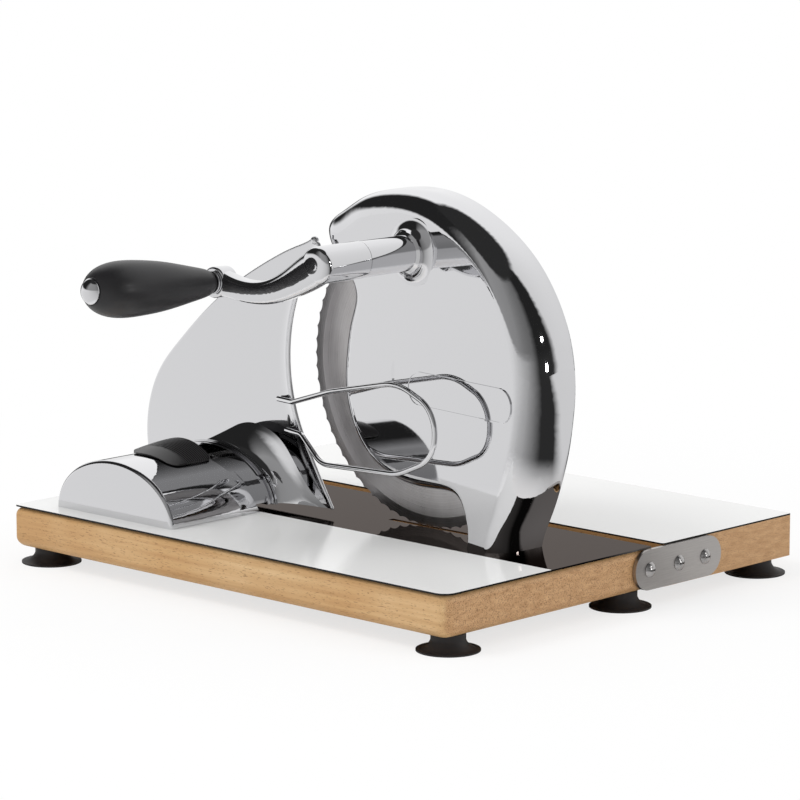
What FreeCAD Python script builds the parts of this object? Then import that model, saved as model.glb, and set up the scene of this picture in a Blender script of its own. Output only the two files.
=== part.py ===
"""Hand-cranked bread slicer on a folding wooden base.

Millimetres. +X runs along the boards in the feed direction, +Y from the crank side to the loaf
side, +Z up. The origin is on the floor under the middle of the open base.
"""
import FreeCAD, Part
import math
import os

V = FreeCAD.Vector

# ---------------------------------------------------------------- driving dimensions
# Base boards
board_length = 360.0
front_board_depth = 181.5
rear_board_depth = 121.0
board_gap = 4.5
wood_thickness = 25.0
sheet_thickness = 1.0
board_corner_radius = 8.0       # front corner on the crank side
board_edge_radius = 2.0
sheet_ease = 0.05               # corners of the laminate where it meets the steel
laminate_depth = 88.0           # crank-side laminate, front edge to steel strip

# Fold hinge of the rear board
pivot_setback = 10.0            # pivot axis to the front board's rear edge
hinge_edge_radius = 6.0         # rounding that lets the rear board swing past
strap_length = 78.0
strap_height = 24.0
strap_thickness = 2.5
strap_screw_spacing = 24.0
strap_screw_radius = 2.2
pivot_screw_radius = 3.0
hinge_side_play = 0.3

# Suction feet
foot_height = 10.2
foot_rim_radius = 18.3
foot_neck_radius = 10.0
foot_inset_x = 14.1
foot_inset_y = 17.1
foot_stud_radius = 2.0
foot_stud_grip = 14.0

# Blade
blade_x = 49.0
blade_height = 94.5             # blade axis above the board surface
blade_setback = 126.0           # front edge of the base to the blade's near face
blade_radius = 95.0
blade_thickness = 1.2
blade_waves = 72
blade_wave_depth = 1.3
blade_bevel_width = 7.0
blade_slot_side = 1.5           # play each side of the blade in the strip's slot
blade_slot_depth = 4.0
blade_slot_length = 64.0

# Gears
gear_module = 1.5
pinion_teeth = 36
blade_gear_teeth = 63
gear_thickness = 6.0
gear_backlash = 0.16            # taken off each tooth at the pitch circle
pressure_angle = math.radians(20.0)
crank_offset_x = 9.0            # crank axis beside the blade axis

# Housing
housing_rim_radius = 110.0
housing_wall = 2.4
rim_overlap = 5.0               # rim behind the blade's near face
face_forward = 21.3             # face in front of the blade plane, at the blade axis
face_slope = 0.13               # face comes forward towards the foot
shoulder_start = 5.0            # shoulder starts this far in front of the blade plane
edge_clearance = 1.5            # thin left edge to the blade
bearing_tube_radius = 10.7
bearing_tube_mouth = 57.5       # front edge of the base to the tube's mouth
flare_radius = 19.8
flare_fillet = 8.0

# Crank
shaft_radius = 5.0
bush_wall = 2.0
running_play = 0.05
arm_front = 20.0                # front edge of the base to the arm's outer face
arm_thickness = 12.0
arm_softness = 0.6              # 1 gives an elliptical section, 0 a square one
crank_reach_x = 82.0
crank_drop = 17.5
eye_radius = 9.2
hub_radius = 10.9
hub_gap = 0.5
spindle_radius = 4.0
handle_tilt = math.radians(3.0)
ferrule_length = 1.0
ferrule_radius = 6.6
grip_length = 93.5
grip_radius = 16.4
grip_play = 0.3
handle_nut_radius = 7.4
handle_nut_length = 5.0

# Slice-thickness fence
fence_setback = 112.2           # front edge of the base to the loaf side of the fence
fence_thickness = 2.2
fence_clearance = 4.0           # above the boards
fence_edge_radius = 101.0       # concave edge, about the blade axis
fence_edge_lean = 0.58          # slope of the edge's straight stretch
fence_tip_height = 161.5        # above the boards
lip_bend = math.radians(50.0)   # how far the rolled edge turns to the crank side
fence_open_travel = 4.0

# Adjuster under the crank
adjuster_x = -106.0
barrel_half_width = 51.0
barrel_height = 34.5
barrel_front = 14.0
barrel_rear = 87.0
barrel_rake = 0.46              # rear end leans forward, mm per mm of height
barrel_wall = 2.0
barrel_edge_radius = 2.4        # round the flat front end
neck_half_width = 47.0
neck_height = 30.0
neck_wall = 2.5
neck_crown_wall = 6.5
neck_flat_depth = 3.8           # flat along the top for the rack
neck_flat_half_width = 15.5
rod_radius = 4.0
rod_spacing = 44.0
rod_height = 12.0
ring_half_width = 55.0
ring_height = 36.2
ring_thickness = 6.0

# Release lever
lever_front = 40.0
lever_length = 32.0
lever_left = 21.0               # from the barrel's middle
lever_right = 25.0
lever_rise = 6.6                # its rear edge above the barrel
lever_pin_radius = 1.2
lever_pivot_inset = 4.6         # pin behind the lever's front edge

# Wire slice guard
wire_radius = 1.6

# ---------------------------------------------------------------- derived places
# The origin is on the floor, in the middle of the whole length from the handle's end to the rear edge.
base_depth = front_board_depth + board_gap + rear_board_depth
grip_start = grip_play + ferrule_length
grip_end = grip_start + grip_length
handle_end = grip_end + grip_play + handle_nut_length
handle_overhang = handle_end * math.cos(handle_tilt) - arm_front
front_y = (handle_overhang - base_depth) / 2
front_board_rear = front_y + front_board_depth
rear_board_front = front_board_rear + board_gap
rear_y = front_y + base_depth
wood_bottom = foot_height
wood_top = wood_bottom + wood_thickness
top = wood_top + sheet_thickness
half_length = board_length / 2
front_half_length = half_length - hinge_side_play
strip_front = front_y + laminate_depth
strip_rear = front_board_rear - hinge_edge_radius
pivot_y = front_board_rear - pivot_setback
pivot_z = (wood_bottom + top) / 2

blade_y = front_y + blade_setback
blade_z = top + blade_height
blade_back = blade_y + blade_thickness
gear_centres = gear_module * (pinion_teeth + blade_gear_teeth) / 2
crank_x = blade_x + crank_offset_x
crank_z = blade_z + math.sqrt(gear_centres ** 2 - crank_offset_x ** 2)
gear_back = blade_y - shoulder_start
gear_front = gear_back - gear_thickness
cover_front = gear_back + 0.8
cover_thickness = 1.6
hub_front = gear_front - 0.8
rim_y = blade_y + rim_overlap
tube_mouth_y = front_y + bearing_tube_mouth
bush_radius = shaft_radius + bush_wall
shaft_bore = shaft_radius + running_play

arm_y = front_y + arm_front
arm_back = arm_y + arm_thickness
eye_x = crank_x - crank_reach_x
eye_z = crank_z - crank_drop

fence_back = front_y + fence_setback
fence_front = fence_back - fence_thickness
fence_bottom = top + fence_clearance
barrel_front_y = front_y + barrel_front
barrel_rear_y = front_y + barrel_rear
lever_pivot_y = front_y + lever_front + lever_pivot_inset
lever_pivot_z = top + barrel_height - barrel_wall - lever_pin_radius - 0.4
web_front = barrel_rear_y - 20.0
web_thickness = 6.0
neck_front = front_y + 36.5
ring_front = barrel_rear_y + 5.0
ring_back = ring_front + ring_thickness

CUT = 1.0                       # how far a cutting tool runs past what it cuts


# ---------------------------------------------------------------- shape helpers
def box(x0, x1, y0, y1, z0, z1):
    return Part.makeBox(x1 - x0, y1 - y0, z1 - z0, V(x0, y0, z0))


def round_bar(radius, start, end):
    return Part.makeCylinder(radius, (end - start).Length, start, end - start)


def bar_y(radius, x, z, y0, y1):
    return Part.makeCylinder(radius, y1 - y0, V(x, y0, z), V(0, 1, 0))


def bar_z(radius, x, y, z0, z1):
    return Part.makeCylinder(radius, z1 - z0, V(x, y, z0), V(0, 0, 1))


def bar_x(radius, y, z, x0, x1):
    return Part.makeCylinder(radius, x1 - x0, V(x0, y, z), V(1, 0, 0))


def fused(shapes):
    shapes = list(shapes)
    return shapes[0].fuse(shapes[1:])


def cut(shape, tools):
    for tool in tools:
        shape = shape.cut(tool)
    return shape


def group(shapes):
    return Part.makeCompound(list(shapes))


def face_of(edges):
    return Part.Face(Part.Wire(edges))


def polygon(points):
    return Part.Face(Part.makePolygon(points + points[:1]))


def turned_y(profile, x, z):
    """Solid of revolution about the Y direction: profile is (radius, y) points."""
    face = polygon([V(x + radius, y, z) for radius, y in profile])
    return face.revolve(V(x, 0, z), V(0, 1, 0), 360)


def ring_wire(points):
    curve = Part.BSplineCurve()
    curve.interpolate(points, PeriodicFlag=True)
    return Part.Wire(curve.toShape())


def skin(wires):
    return Part.makeLoft(wires, True, False)


def rounded_edges(shape, radius, wanted):
    """Fillet the edges for which wanted(edge) holds."""
    return shape.makeFillet(radius, [edge for edge in shape.Edges if wanted(edge)])


def runs_along(edge, axis):
    step = edge.Vertexes[-1].Point - edge.Vertexes[0].Point
    return step.Length > 1e-6 and abs(abs(step.dot(axis)) - edge.Length) < 1e-6


def polar(radius, degrees, x, z, y=0.0):
    angle = math.radians(degrees)
    return V(x + radius * math.cos(angle), y, z + radius * math.sin(angle))


def bent_path(corners, radii):
    """Wire of straight runs through the corners, with each inner corner rounded."""
    edges = []
    last = corners[0]
    for index in range(1, len(corners) - 1):
        corner = corners[index]
        back = (corners[index - 1] - corner).normalize()
        ahead = (corners[index + 1] - corner).normalize()
        half_angle = back.getAngle(ahead) / 2
        reach = radii[index - 1] / math.tan(half_angle)
        start = corner + back * reach
        end = corner + ahead * reach
        centre_way = (back + ahead).normalize()
        centre = corner + centre_way * (radii[index - 1] / math.sin(half_angle))
        middle = centre - centre_way * radii[index - 1]
        edges.append(Part.LineSegment(last, start).toShape())
        edges.append(Part.Arc(start, middle, end).toShape())
        last = end
    edges.append(Part.LineSegment(last, corners[-1]).toShape())
    return Part.Wire(edges)


def pan_screw(radius, head_radius, head_height, length, start, way):
    """Cross-recess pan-head screw: start is under the head, way points along the thread."""
    shank = round_bar(radius, start, start + way * length)
    head = round_bar(head_radius, start - way * head_height, start)
    crown = Part.makeSphere(head_radius * 1.35, start - way * (head_height - head_radius * 1.35))
    head = head.common(crown)
    side = V(0, 0, 1) if abs(way.z) < 0.5 else V(1, 0, 0)
    cross = way.cross(side)
    recess = []
    for along, over in ((side, cross), (cross, side)):
        arm = Part.makeBox(head_radius, head_radius * 0.24, head_height * 0.6)
        arm.Placement = FreeCAD.Placement(V(0, 0, 0), FreeCAD.Rotation(along, over, way * -1, "XYZ"))
        middle = along * (head_radius / 2) + over * (head_radius * 0.12)
        arm.translate(start - way * (head_height * 0.45) - middle)
        recess.append(arm)
    return cut(shank.fuse(head), recess)


def flat_screw(radius, head_radius, length, start, way):
    """Countersunk screw: start is the middle of the flat head, way points along the thread."""
    cone_height = head_radius - radius
    head = Part.makeCone(head_radius, radius, cone_height, start, way)
    shank = round_bar(radius, start, start + way * length)
    slot = round_bar(head_radius * 0.22, start - way * CUT, start + way * (cone_height * 0.6))
    return head.fuse(shank).cut(slot)


def upright_at(x, y, z):
    """Picks the vertical edge that stands on a point."""
    place = V(x, y, z)

    def wanted(edge):
        return runs_along(edge, V(0, 0, 1)) and any(
            vertex.Point.distanceToPoint(place) < 1e-6 for vertex in edge.Vertexes)
    return wanted


# ---------------------------------------------------------------- base boards
def board(x_half, y0, y1, z0, z1, corner_radii):
    """Flat slab with rounded vertical corners: front left, front right, rear left, rear right."""
    slab = box(-x_half, x_half, y0, y1, z0, z1)
    for (x, y), radius in zip([(-x_half, y0), (x_half, y0), (-x_half, y1), (x_half, y1)], corner_radii):
        slab = rounded_edges(slab, radius, upright_at(x, y, z0))
    return slab


def edge_along_x(y, z):
    def wanted(edge):
        point = edge.Vertexes[0].Point
        return runs_along(edge, V(1, 0, 0)) and abs(point.y - y) < 1e-6 and abs(point.z - z) < 1e-6
    return wanted


def foot_places(y_places):
    x_place = half_length - foot_inset_x
    return [(x, y) for y in y_places for x in (x_place, -x_place)]


front_feet = foot_places([front_y + foot_inset_y, front_board_rear - foot_inset_y])
rear_feet = foot_places([rear_y - foot_inset_y])


def stud_holes(places):
    return [bar_z(foot_stud_radius, x, y, wood_bottom - CUT, wood_bottom + foot_stud_grip)
            for x, y in places]


def blade_slot(z0, z1):
    """Cutter for the slot that the blade runs in."""
    return box(blade_x - blade_slot_length / 2, blade_x + blade_slot_length / 2,
               blade_y - blade_slot_side, blade_back + blade_slot_side, z0, z1)


front_corner_radii = (board_edge_radius, board_corner_radius, board_edge_radius, board_edge_radius)
rear_corner_radii = (board_edge_radius,) * 4


def make_front_board():
    wood = board(front_half_length, front_y, front_board_rear, wood_bottom, wood_top, front_corner_radii)
    lift = hinge_edge_radius - sheet_thickness
    wood = rounded_edges(wood, lift, edge_along_x(front_board_rear, wood_top))
    wood = rounded_edges(wood, hinge_edge_radius, edge_along_x(front_board_rear, wood_bottom))
    holes = stud_holes(front_feet)
    holes.append(blade_slot(wood_top - blade_slot_depth, wood_top + CUT))
    for x, y in housing_bolt_places():
        holes.append(bar_z(bolt_radius + 0.2, x, y, wood_bottom - CUT, wood_top + CUT))
        holes.append(bar_z(bolt_head_radius + 1.0, x, y, wood_bottom - CUT, bolt_seat))
    for x, y in adjuster_screw_places():
        holes.append(bar_z(adjuster_screw_radius + 0.2, x, y, wood_bottom - CUT, wood_top + CUT))
        holes.append(bar_z(adjuster_head_radius + 0.5, x, y, wood_bottom - CUT, adjuster_seat))
    for side in (1, -1):
        holes.append(bar_x(pivot_screw_radius, pivot_y, pivot_z,
                           *sorted((side * (front_half_length - screw_grip), side * (half_length + CUT)))))
    return cut(wood, holes)


def make_rear_board():
    wood = board(half_length, rear_board_front, rear_y, wood_bottom, wood_top, rear_corner_radii)
    holes = stud_holes(rear_feet)
    for side in (1, -1):
        for y in strap_screw_places():
            holes.append(bar_x(strap_screw_radius, y, pivot_z,
                               *sorted((side * (half_length - screw_grip), side * (half_length + CUT)))))
    return cut(wood, holes)


def make_front_laminate():
    sheet = board(front_half_length, front_y, strip_front, wood_top, top,
                  (board_edge_radius, board_corner_radius, sheet_ease, sheet_ease))
    holes = [bar_z(adjuster_screw_radius + 0.2, x, y, wood_top - CUT, top + CUT)
             for x, y in adjuster_screw_places()]
    return cut(sheet, holes)


def make_slide_plate():
    sheet = box(-front_half_length, front_half_length, strip_front, strip_rear, wood_top, top)
    holes = [bar_z(bolt_radius + 0.2, x, y, wood_top - CUT, top + CUT)
             for x, y in housing_bolt_places()]
    holes.append(blade_slot(wood_top - CUT, top + CUT))
    return cut(sheet, holes)


def make_rear_laminate():
    return board(half_length, rear_board_front, rear_y, wood_top, top, rear_corner_radii)


# ---------------------------------------------------------------- fold hinge
screw_grip = 22.0
strap_head_radius = 4.6
strap_head_height = 2.4
strap_front = pivot_y - strap_height / 2 - 1.0


def strap_screw_places():
    first = rear_board_front + (strap_screw_spacing - board_gap) / 2 + strap_screw_radius
    return [first + strap_screw_spacing * index for index in range(2)]


def make_strap(side):
    """Steel strap, screwed to the rear board and turning on a screw in the front board."""
    radius = strap_height / 2
    y0 = strap_front + radius
    y1 = strap_front + strap_length - radius
    inner = side * half_length
    x0, x1 = sorted((inner, inner + side * strap_thickness))
    strap = fused([box(x0, x1, y0, y1, pivot_z - radius, pivot_z + radius),
                   bar_x(radius, y0, pivot_z, x0, x1), bar_x(radius, y1, pivot_z, x0, x1)])
    holes = [bar_x(strap_screw_radius, y, pivot_z, x0 - CUT, x1 + CUT) for y in strap_screw_places()]
    holes.append(bar_x(pivot_screw_radius + running_play, pivot_y, pivot_z, x0 - CUT, x1 + CUT))
    return cut(strap, holes)


def make_strap_screws():
    screws = []
    for side in (1, -1):
        seat = side * (half_length + strap_thickness)
        for y in strap_screw_places():
            screws.append(pan_screw(strap_screw_radius, strap_head_radius, strap_head_height,
                                    screw_grip, V(seat, y, pivot_z), V(-side, 0, 0)))
    return group(screws)


def make_pivot_screws():
    screws = []
    for side in (1, -1):
        seat = side * (half_length + strap_thickness + running_play)
        screws.append(pan_screw(pivot_screw_radius, strap_head_radius, strap_head_height,
                                screw_grip, V(seat, pivot_y, pivot_z), V(-side, 0, 0)))
    return group(screws)


# ---------------------------------------------------------------- suction feet
foot_stud_bottom = foot_height * 0.55


def make_foot(x, y):
    """Rubber suction cup: wide thin rim, concave flank, hollow underneath."""
    rim_height = 0.9
    hollow = 2.6
    neck_foot = foot_height * 0.62
    flank_middle = V(foot_neck_radius + (foot_rim_radius - foot_neck_radius) * 0.28, 0,
                     rim_height + (neck_foot - rim_height) * 0.36)
    edges = [
        Part.makeLine(V(0, 0, hollow), V(0, 0, foot_height)),
        Part.makeLine(V(0, 0, foot_height), V(foot_neck_radius, 0, foot_height)),
        Part.makeLine(V(foot_neck_radius, 0, foot_height), V(foot_neck_radius, 0, neck_foot)),
        Part.Arc(V(foot_neck_radius, 0, neck_foot), flank_middle,
                 V(foot_rim_radius, 0, rim_height)).toShape(),
        Part.makeLine(V(foot_rim_radius, 0, rim_height), V(foot_rim_radius, 0, 0)),
        Part.makeLine(V(foot_rim_radius, 0, 0), V(foot_rim_radius - 1.2, 0, 0)),
        Part.Arc(V(foot_rim_radius - 1.2, 0, 0), V(foot_rim_radius * 0.58, 0, hollow * 0.72),
                 V(foot_stud_radius, 0, hollow)).toShape(),
        Part.makeLine(V(foot_stud_radius, 0, hollow), V(0, 0, hollow)),
    ]
    cup = face_of(edges).revolve(V(0, 0, 0), V(0, 0, 1), 360)
    cup.translate(V(x, y, 0))
    return cup.cut(bar_z(foot_stud_radius, x, y, foot_stud_bottom, foot_height + CUT))


def make_foot_screws(places):
    return group(bar_z(foot_stud_radius, x, y, foot_stud_bottom, wood_bottom + foot_stud_grip)
                 for x, y in places)


# ---------------------------------------------------------------- blade housing
bolt_radius = 3.0
bolt_head_radius = 5.5
bolt_head_height = 4.0
bolt_washer_thickness = 1.2
bolt_seat = wood_bottom + 8.0
bolt_bite = 12.0
foot_left = 54.0                # foot, from the blade axis along X
foot_right = 87.0
rim_swell = [0.0, 0.2, 0.2, -0.5, -1.3, -2.4, -2.7, -2.2, -1.8, -1.2, 0.2, 0.6]
rim_shoulder = 14.0             # rim to the flat of the face
rim_land = 10.0                 # straight part of the rim, behind the rounded shoulder
cover_boss_radius = 4.6
cover_screw_radius = 1.6


def housing_bolt_places():
    return [(blade_x + foot_left + 11.0, blade_y - 21.0), (blade_x + foot_right - 15.0, blade_y - 6.0)]


def cover_screw_places():
    """Screw bosses, as (x, z) from the blade axis, clear of both gears."""
    return [(86.0, 20.0), (-46.0, 77.0), (58.0, -62.0), (-31.0, -50.0)]


def housing_rings():
    """Outer rim and front face of the housing, point by point, about the blade axis."""
    rim = []
    face = []
    for step, swell in enumerate(rim_swell):
        angle = math.radians(-6 + 12 * step)
        radius = housing_rim_radius + swell
        rim.append((radius * math.cos(angle), radius * math.sin(angle)))
        radius -= rim_shoulder
        face.append((radius * math.cos(angle), radius * math.sin(angle)))
    rim += [(-75.5, 79.5), (-74.5, 73.0), (-65.0, 62.5), (-55.5, 53.5),
            (-50.5, 44.0), (-55.0, 26.0), (-59.0, 8.0), (-60.5, -12.0),
            (-56.0, -33.0), (-43.0, -52.0), (-23.0, -64.0), (4.0, -68.5), (28.0, -67.5),
            (44.0, -70.0), (52.5, -80.0), (foot_left, -94.0), (foot_left, -112.0)]
    face += [(-66.0, 74.5), (-65.0, 71.0), (-56.5, 60.0), (-47.5, 51.5),
             (-42.5, 42.0), (-46.0, 26.0), (-50.0, 8.0), (-51.5, -12.0),
             (-47.0, -29.0), (-36.0, -45.0), (-18.0, -55.0), (6.0, -59.0), (31.0, -59.0),
             (49.0, -63.0), (56.5, -76.0), (foot_left + 4.0, -92.0), (foot_left + 4.0, -112.0)]
    rim += [(foot_right - 7.0, -114.0), (foot_right - 1.5, -94.0), (92.5, -76.0), (100.5, -55.0),
            (106.5, -32.0)]
    face += [(foot_right - 18.5, -114.0), (foot_right - 15.5, -94.0), (78.0, -73.5), (85.5, -51.5),
             (92.0, -29.5)]
    return rim, face


def inset(outline, distance):
    """Points of a closed outline moved to its inside by a distance."""
    moved = []
    count = len(outline)
    for index, (x, z) in enumerate(outline):
        x0, z0 = outline[index - 1]
        x1, z1 = outline[(index + 1) % count]
        length = math.hypot(x1 - x0, z1 - z0)
        moved.append((x - (z1 - z0) / length * distance, z + (x1 - x0) / length * distance))
    return moved


def face_plane_y(x):
    """Front face of the housing, x from the blade axis."""
    return blade_y - face_forward - face_slope * x


def dome(rim, face, rear, wall):
    """Housing body from its rim to its sloping face, with a rounded shoulder between."""
    sections = []
    land = rim_y - rim_land
    for y in (rear, land):
        sections.append([V(blade_x + x, y, blade_z + z) for x, z in rim])
    for degrees in (20, 42, 65, 90):
        angle = math.radians(degrees)
        section = []
        for (rim_x, rim_z), (face_x, face_z) in zip(rim, face):
            x = face_x + (rim_x - face_x) * math.cos(angle)
            z = face_z + (rim_z - face_z) * math.cos(angle)
            y = land + (face_plane_y(x) + wall - land) * math.sin(angle)
            section.append(V(blade_x + x, y, blade_z + z))
        sections.append(section)
    return skin([ring_wire(section) for section in sections])


def make_housing():
    rim, face = housing_rings()
    outside = dome(rim, face, rim_y, 0.0)
    inside = dome(inset(rim, housing_wall), inset(face, housing_wall * 0.6), rim_y + CUT, housing_wall)
    above_board = box(-half_length, half_length, arm_y, rear_y, top, blade_z + 2 * housing_rim_radius)
    outside = outside.common(above_board)
    shell = outside.cut(inside)
    foot_core = outside.common(box(blade_x, half_length, arm_y, rim_y, top, top + 16.0))
    face_at_crank = face_plane_y(crank_offset_x)
    flare_front = face_at_crank - flare_fillet - 1.5
    tube = turned_y([(bush_radius, tube_mouth_y), (bearing_tube_radius, tube_mouth_y),
                     (bearing_tube_radius, flare_front), (flare_radius, flare_front + flare_fillet),
                     (flare_radius, face_at_crank + housing_wall + 1.5),
                     (bush_radius, face_at_crank + housing_wall + 1.5)], crank_x, crank_z)
    hollow_fillet = Part.makeTorus(flare_radius + 0.4, flare_fillet, V(crank_x, flare_front, crank_z),
                                   V(0, 1, 0))
    tube = tube.cut(hollow_fillet)
    boss = bar_y(axle_boss_radius, blade_x, blade_z, face_plane_y(0) + housing_wall / 2, hub_front - 0.5)
    bosses = [bar_y(cover_boss_radius, blade_x + x, blade_z + z, face_plane_y(x) + 1.2, cover_front)
              for x, z in cover_screw_places()]
    bosses = [item.common(outside) for item in bosses]
    shell = fused([shell, foot_core, tube, boss] + bosses)
    holes = [Part.makeCylinder(blade_radius + 3.0, 2 * rim_overlap + edge_clearance,
                               V(blade_x, blade_y - edge_clearance, blade_z), V(0, 1, 0)),
             bar_y(bush_radius, crank_x, crank_z, tube_mouth_y - CUT, hub_front),
             bar_y(axle_radius, blade_x, blade_z, axle_front, hub_front)]
    for x, z in cover_screw_places():
        holes.append(bar_y(cover_screw_radius, blade_x + x, blade_z + z,
                           cover_front - 8.0, cover_front + CUT))
    for x, y in housing_bolt_places():
        holes.append(bar_z(bolt_radius, x, y, top - CUT, top + bolt_bite))
    return cut(shell, holes)


def make_gear_cover():
    """Thin plate that closes the gear case, behind the blade."""
    rim, face = housing_rings()
    outline = inset(rim, housing_wall + 0.6)
    sheet = [ring_wire([V(blade_x + x, y, blade_z + z) for x, z in outline])
             for y in (cover_front, cover_front + cover_thickness)]
    plate = skin(sheet).common(box(-half_length, half_length, front_y, rear_y, top + 16.2,
                                   blade_z + housing_rim_radius))
    holes = [bar_y(hub_radius_gear + 1.0, blade_x, blade_z, cover_front - CUT, blade_y),
             bar_y(shaft_radius + 0.5, crank_x, crank_z, cover_front - CUT, blade_y)]
    for x, z in cover_screw_places():
        holes.append(Part.makeCone(cover_screw_radius, cover_screw_radius + cover_thickness, cover_thickness,
                                   V(blade_x + x, cover_front, blade_z + z), V(0, 1, 0)))
    return cut(plate, holes)


def make_gear_cover_screws():
    back = cover_front + cover_thickness
    return group(flat_screw(cover_screw_radius, cover_screw_radius + cover_thickness, 8.0,
                            V(blade_x + x, back, blade_z + z), V(0, -1, 0))
                 for x, z in cover_screw_places())


def make_housing_bolts():
    bolts = []
    for x, y in housing_bolt_places():
        shank = bar_z(bolt_radius, x, y, bolt_seat - bolt_washer_thickness, top + bolt_bite)
        head = bar_z(bolt_head_radius, x, y, bolt_seat - bolt_washer_thickness - bolt_head_height,
                     bolt_seat - bolt_washer_thickness)
        socket = bar_z(bolt_radius * 0.8, x, y, wood_bottom - CUT,
                       bolt_seat - bolt_washer_thickness - bolt_head_height / 2)
        bolts.append(shank.fuse(head).cut(socket))
    return group(bolts)


def make_housing_washers():
    return group(bar_z(bolt_head_radius + 0.6, x, y, bolt_seat - bolt_washer_thickness, bolt_seat)
                 .cut(bar_z(bolt_radius, x, y, wood_bottom, top))
                 for x, y in housing_bolt_places())


badge_length = 93.0
badge_height = 20.5
badge_thickness = 0.8
badge_x = 49.5                  # middle of the plate, from the blade axis
badge_z = -6.8


def make_badge():
    """Plain oblong plate lying on the sloping face, with a thin raised border."""
    radius = badge_height / 2
    half = badge_length / 2 - radius

    def oblong(margin, thickness):
        r = radius - margin
        return fused([box(-half, half, -thickness, 0, -r, r),
                      bar_y(r, half, 0, -thickness, 0), bar_y(r, -half, 0, -thickness, 0)])

    plate = oblong(0.0, badge_thickness).cut(oblong(0.9, badge_thickness / 2)
                                             .translated(V(0, -badge_thickness / 2, 0)))
    plate.rotate(V(0, 0, 0), V(0, 0, 1), -math.degrees(math.atan(face_slope)))
    plate.translate(V(blade_x + badge_x, face_plane_y(badge_x), blade_z + badge_z))
    return plate


# ---------------------------------------------------------------- gears and blade
axle_radius = 5.0
axle_boss_radius = 12.0
axle_front = face_plane_y(0) + housing_wall
hub_radius_gear = 14.0
spigot_radius = 9.0
clamp_radius = 17.0
clamp_thickness = 3.0
blade_screw_circle = 12.3
blade_screw_radius = 1.5
clip_front = blade_y - 2.2
clip_thickness = 1.0


def gear_outline(teeth, turn):
    """Involute spur gear outline about the origin in the XZ plane, first tooth at angle turn."""
    pitch = gear_module * teeth / 2
    base = pitch * math.cos(pressure_angle)
    tip = pitch + gear_module
    root = pitch - 1.25 * gear_module
    half_tooth = (math.pi * gear_module / 2 - gear_backlash) / (2 * pitch)
    involute = math.tan(pressure_angle) - pressure_angle

    def flank(radius, side):
        roll = math.acos(min(1.0, base / radius))
        return side * (half_tooth + involute - (math.tan(roll) - roll))

    def point(radius, angle):
        return V(radius * math.cos(angle), 0, radius * math.sin(angle))

    start = max(base, root) + 0.01
    radii = [start + (tip - start) * step / 3 for step in range(4)]
    edges = []
    for tooth in range(teeth):
        middle = turn + 2 * math.pi * tooth / teeth
        rising = [point(radius, middle + flank(radius, -1)) for radius in radii]
        falling = [point(radius, middle + flank(radius, 1)) for radius in reversed(radii)]
        foot_in = point(root, middle + flank(start, -1))
        foot_out = point(root, middle + flank(start, 1))
        next_foot = point(root, middle + 2 * math.pi / teeth + flank(start, -1))
        edges.append(Part.makeLine(foot_in, rising[0]))
        for points in (rising, falling):
            curve = Part.BSplineCurve()
            curve.interpolate(points)
            edges.append(curve.toShape())
            if points is rising:
                edges.append(Part.makeLine(rising[-1], falling[0]))
        edges.append(Part.makeLine(falling[-1], foot_out))
        edges.append(Part.makeLine(foot_out, next_foot))
    return face_of(edges)


def gear_disc(teeth, turn, x, z):
    disc = gear_outline(teeth, turn).extrude(V(0, gear_thickness, 0))
    disc.translate(V(x, gear_front, z))
    return disc


def mesh_angle():
    """Direction from the crank axis to the blade axis in the XZ plane."""
    return math.atan2(blade_z - crank_z, blade_x - crank_x)


def make_pinion():
    """Pinion with a tooth pointing at the blade axis."""
    wheel = gear_disc(pinion_teeth, mesh_angle(), crank_x, crank_z)
    collar = bar_y(10.0, crank_x, crank_z, gear_front - 3.0, gear_front)
    wheel = fused([wheel, collar])
    holes = [bar_y(shaft_radius, crank_x, crank_z, gear_front - 4.0, gear_back + CUT),
             bar_x(pinion_pin_radius, pinion_pin_y, crank_z, crank_x - 11.0, crank_x + 11.0)]
    return cut(wheel, holes)


pinion_pin_radius = 1.2
pinion_pin_y = gear_front - 1.5


def make_pinion_pin():
    return bar_x(pinion_pin_radius, pinion_pin_y, crank_z, crank_x - 10.0, crank_x + 10.0)


def make_blade_gear():
    """Gear on the blade's hub, with a tooth gap pointing at the crank axis."""
    turn = mesh_angle() + math.pi + math.pi / blade_gear_teeth
    wheel = gear_disc(blade_gear_teeth, turn, blade_x, blade_z)
    hub = bar_y(hub_radius_gear, blade_x, blade_z, hub_front, blade_y)
    spigot = bar_y(spigot_radius, blade_x, blade_z, blade_y, blade_back)
    wheel = fused([wheel, hub, spigot])
    windows = []
    pitch = gear_module * blade_gear_teeth / 2
    window_circle = (pitch + hub_radius_gear) / 2
    for index in range(6):
        place = polar(window_circle, 60 * index + 30, blade_x, blade_z)
        windows.append(bar_y((pitch - hub_radius_gear) * 0.33, place.x, place.z,
                             gear_front - CUT, gear_back + CUT))
    holes = [bar_y(bush_radius, blade_x, blade_z, hub_front - CUT, clip_front),
             bar_y(bush_radius + 0.6, blade_x, blade_z, clip_front, blade_back + CUT)]
    for place in blade_screw_points():
        holes.append(bar_y(blade_screw_radius, place.x, place.z, blade_y - 7.0, blade_y + CUT))
    return cut(wheel, windows + holes)


def blade_screw_points():
    return [polar(blade_screw_circle, 120 * index + 90, blade_x, blade_z) for index in range(3)]


def make_blade_bush():
    return bar_y(bush_radius, blade_x, blade_z, hub_front, clip_front).cut(
        bar_y(axle_radius + running_play, blade_x, blade_z, hub_front - CUT, clip_front + CUT))


def make_axle():
    groove = turned_y([(axle_radius - 0.8, clip_front + 0.1), (axle_radius + CUT, clip_front + 0.1),
                       (axle_radius + CUT, clip_front + 0.1 + clip_thickness),
                       (axle_radius - 0.8, clip_front + 0.1 + clip_thickness)], blade_x, blade_z)
    return bar_y(axle_radius, blade_x, blade_z, axle_front, blade_y + 0.4).cut(groove)


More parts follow.
